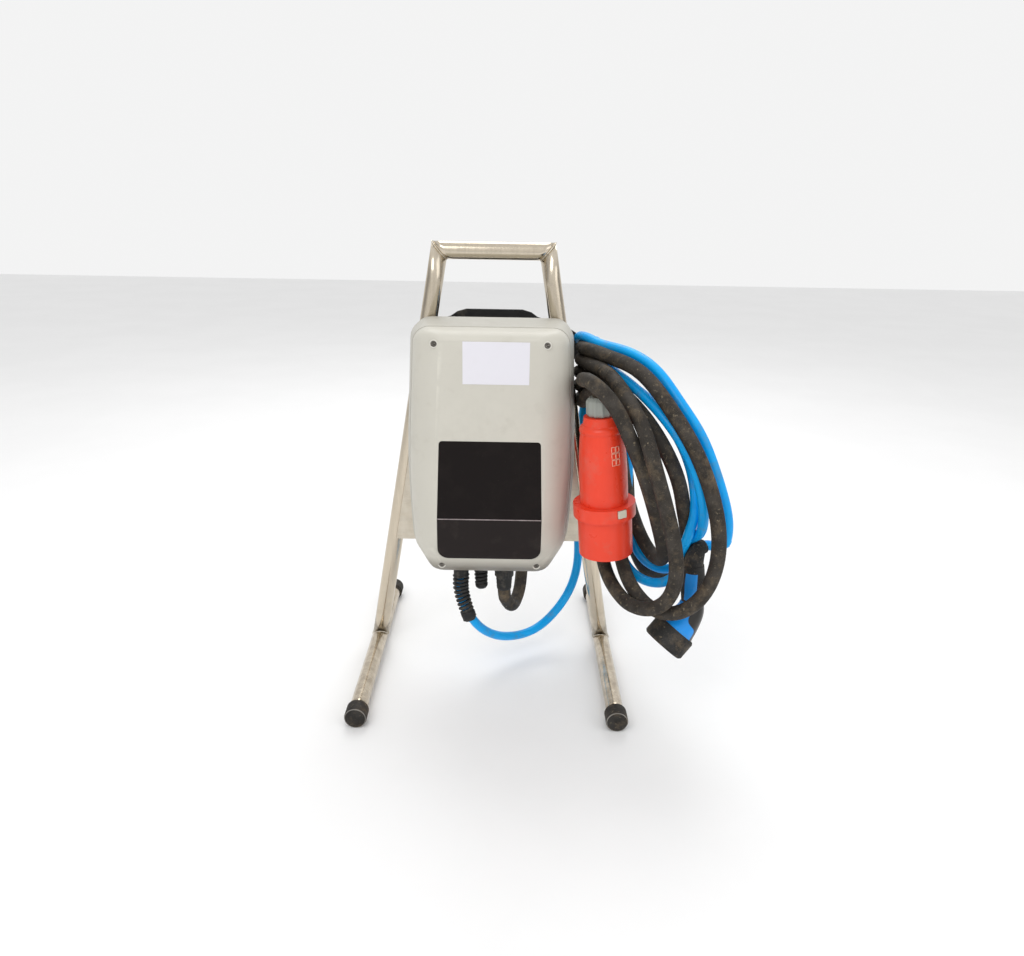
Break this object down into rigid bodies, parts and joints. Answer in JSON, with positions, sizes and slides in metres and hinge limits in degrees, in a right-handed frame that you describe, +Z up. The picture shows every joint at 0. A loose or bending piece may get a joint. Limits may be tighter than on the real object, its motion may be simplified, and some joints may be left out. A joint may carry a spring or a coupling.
{
  "type": "portable ev charging post",
  "caption": "Wallbox charger on a welded stainless tube stand with a carrying handle, with a supply plug and a vehicle connector on leads hung in loops.",
  "frame": {"origin": "on the floor, under the middle of the four feet", "axes": "+Z up, -Y the front, where the wallbox faces, +X to the right of someone facing it, where the loops hang"},
  "size_m": [0.5355, 0.439, 0.6597],
  "materials": {
    "board_green": "satin",
    "body_blue": "satin",
    "cap_rubber": "matte",
    "charge_jacket": "satin",
    "contact_metal": "satin",
    "cover_plastic": "satin",
    "device_plastic": "matte",
    "gland_plastic": "satin",
    "grip_rubber": "matte",
    "hanger_plastic": "matte",
    "head_black": "matte",
    "housing_plastic": "satin",
    "inlay_blue": "satin",
    "insert_black": "matte",
    "label_white": "matte",
    "latch_plastic": "matte",
    "light_guide": "gloss",
    "nut_grey": "matte",
    "panel_dark": "satin",
    "plug_red": "satin",
    "rail_steel": "satin",
    "seal_rubber": "matte",
    "stainless_sheet": "satin",
    "stainless_tube": "brushed",
    "supply_rubber": "matte",
    "toggle_plastic": "matte",
    "window_gloss": "gloss",
    "zinc_steel": "satin"
  },
  "bodies": {
    "post": {"handle_bar": "stainless_tube", "leg_left": "stainless_tube", "leg_right": "stainless_tube", "foot_tube_left": "stainless_tube", "foot_tube_right": "stainless_tube", "foot_cap_front_left": "cap_rubber", "foot_cap_front_right": "cap_rubber", "foot_cap_rear_left": "cap_rubber", "foot_cap_rear_right": "cap_rubber", "mounting_plate": "stainless_sheet", "hanger_bracket": "stainless_sheet", "cable_hanger": "hanger_plastic", "hanger_screws": "zinc_steel", "rear_housing": "housing_plastic", "wall_bolts": "zinc_steel", "wall_nuts": "zinc_steel", "cover_seal": "seal_rubber", "din_rail": "rail_steel", "residual_breaker": "device_plastic", "contactor": "device_plastic", "terminal_block": "device_plastic", "controller_board": "board_green", "board_standoffs": "zinc_steel", "charge_gland": "gland_plastic", "supply_gland": "gland_plastic", "spare_gland": "gland_plastic", "bend_spiral_long": "gland_plastic", "bend_spiral_short": "gland_plastic", "plug_nut": "nut_grey", "plug_body": "plug_red", "plug_shroud": "plug_red", "plug_insert": "insert_black", "plug_pins": "contact_metal", "connector_boot": "grip_rubber", "connector_grip": "grip_rubber", "connector_inlay": "inlay_blue", "connector_body": "body_blue", "connector_head": "head_black", "connector_contacts": "contact_metal", "supply_lead": "supply_rubber", "supply_coil": "supply_rubber", "supply_tail": "supply_rubber", "charge_lead": "charge_jacket", "charge_coil": "charge_jacket", "charge_tail": "charge_jacket"},
    "cover": {"front_cover": "cover_plastic", "window_panel": "window_gloss", "light_strip": "light_guide", "lower_panel": "panel_dark", "cover_screws": "zinc_steel", "blank_label": "label_white"},
    "toggle": {"breaker_toggle": "toggle_plastic"},
    "latch": {"plug_latch": "latch_plastic"}
  },
  "joints": [
    {"name": "cover_lift", "type": "slide", "parent": "post", "child": "cover", "axis": [0, -1, 0], "range_m": [0, 0.03]},
    {"name": "toggle_switch", "type": "hinge", "parent": "post", "child": "toggle", "pos_m": [-0.05, -0.051, 0.44], "axis": [1, 0, 0], "range_deg": [0, 60]},
    {"name": "latch_press", "type": "slide", "parent": "post", "child": "latch", "axis": [-0.4677, 0.8829, -0.0409], "range_m": [0, 0.0015], "stiffness_N_per_m": 300, "springref_m": -0.001}
  ]
}
